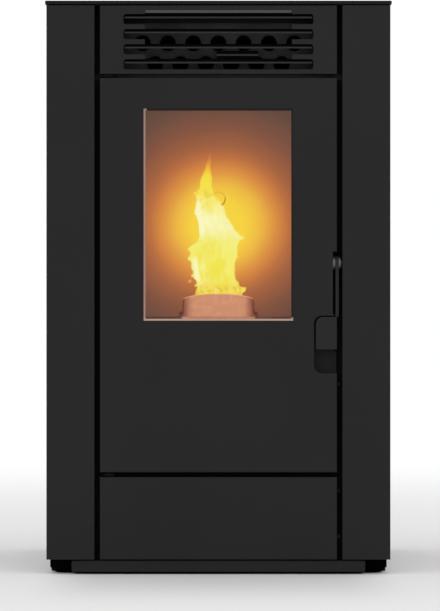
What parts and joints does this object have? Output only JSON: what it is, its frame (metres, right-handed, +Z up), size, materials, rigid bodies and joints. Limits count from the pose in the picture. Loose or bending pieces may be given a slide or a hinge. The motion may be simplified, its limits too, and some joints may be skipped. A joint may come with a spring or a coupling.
{
  "type": "pellet stove",
  "caption": "Floor-standing pellet stove: black steel casing, glazed door with side lever, louvred warm-air grille, burn pot, hopper with auger, ash drawer, rear flue and air pipes.",
  "frame": {"origin": "on the floor, under the centre of the overall bounding box", "axes": "+Z up, -Y out of the front with the door, +Y out along the flue outlet, +X to the right as seen from the front"},
  "size_m": [0.544, 0.558, 0.9],
  "materials": {
    "casing_paint": "satin near-black powder coat",
    "lever_paint": "satin dark grey powder coat",
    "inner_paint": "matt black heat-proof paint",
    "galvanised": "galvanised sheet, faint spangle",
    "zinc": "zinc plated, satin",
    "cast_iron": "rough casting, heat-stained",
    "refractory": "dark pressed refractory board",
    "ceramic_glass": "clear ceramic glass",
    "rope": "braided glass fibre",
    "silicone": "soft silicone strip",
    "motor_metal": "cast, satin",
    "element": "heat-tinted sheath",
    "foot_plastic": "hard plastic pad",
    "socket_plastic": "moulded socket",
    "board": "lacquered board with components"
  },
  "bodies": {
    "body": {"air_box": "inner_paint", "air_intake_pipe": "inner_paint", "auger_motor": "motor_metal", "auger_tube": "galvanised", "baffle_plate": "inner_paint", "base_pan": "inner_paint", "blower_housing": "galvanised", "blower_motor": "motor_metal", "burn_pot": "cast_iron", "chassis_frame": "galvanised", "control_board": "board", "door_hinge_brackets": "inner_paint", "drawer_runners": "galvanised", "exchanger_box": "inner_paint", "fireback": "cast_iron", "firebox_shell": "inner_paint", "flue_outlet": "inner_paint", "front_plate": "inner_paint", "grille_panel": "casing_paint", "hearth_plate": "cast_iron", "heat_tubes": "inner_paint", "hopper_guard": "galvanised", "igniter": "element", "latch_keeper": "inner_paint", "levelling_feet": "foot_plastic", "lid_hinge_brackets": "galvanised", "louvre_blade_1": "casing_paint", "louvre_blade_2": "casing_paint", "louvre_blade_3": "casing_paint", "louvre_blade_4": "casing_paint", "panel_screws": "zinc", "pellet_chute": "galvanised", "pellet_hopper": "galvanised", "plinth": "casing_paint", "power_inlet": "socket_plastic", "rear_panel": "galvanised", "side_liners": "refractory", "side_panel_left": "casing_paint", "side_panel_right": "casing_paint", "smoke_fan_housing": "inner_paint", "smoke_fan_motor": "motor_metal", "top_plate": "casing_paint"},
    "door": {"door_panel": "casing_paint", "door_frame": "inner_paint", "door_glass": "ceramic_glass", "glass_gasket": "rope", "glass_clips": "zinc", "door_rope_seal": "rope", "door_hinge_blocks": "inner_paint", "handle_fasteners": "zinc"},
    "handle": {"handle_lever": "lever_paint"},
    "hopper_lid": {"hopper_lid": "casing_paint", "lid_seal": "silicone"},
    "ash_drawer": {"ash_drawer_front": "casing_paint", "ash_drawer_box": "galvanised"},
    "tube_scraper": {"tube_scraper": "inner_paint", "scraper_handle": "inner_paint"},
    "auger": {"auger_screw": "zinc"},
    "smoke_fan": {"smoke_fan_wheel": "zinc"},
    "blower": {"blower_wheel": "galvanised"}
  },
  "joints": [
    {"name": "door_hinge", "type": "hinge", "parent": "body", "child": "door", "pos_m": [-0.173, -0.262, 0.47], "axis": [0, 0, -1], "range_deg": [0, 105]},
    {"name": "handle_pivot", "type": "hinge", "parent": "door", "child": "handle", "pos_m": [0.1863, -0.264, 0.4886], "axis": [-1, 0, 0], "range_deg": [0, 32]},
    {"name": "hopper_lid_hinge", "type": "hinge", "parent": "body", "child": "hopper_lid", "pos_m": [0, 0.216, 0.89725], "axis": [-1, 0, 0], "range_deg": [0, 80]},
    {"name": "ash_drawer_slide", "type": "slide", "parent": "body", "child": "ash_drawer", "axis": [0, -1, 0], "range_m": [0, 0.22]},
    {"name": "tube_scraper_slide", "type": "slide", "parent": "body", "child": "tube_scraper", "axis": [0, -1, 0], "range_m": [0, 0.11]},
    {"name": "auger_spin", "type": "hinge", "parent": "body", "child": "auger", "pos_m": [0, 0.10401, 0.5557], "axis": [0, -0.309, 0.9511], "continuous": true},
    {"name": "smoke_fan_spin", "type": "hinge", "parent": "body", "child": "smoke_fan", "pos_m": [-0.07, 0.04, 0.235], "axis": [0, 1, 0], "continuous": true},
    {"name": "blower_spin", "type": "hinge", "parent": "body", "child": "blower", "pos_m": [0, 0.085, 0.07], "axis": [1, 0, 0], "continuous": true}
  ]
}
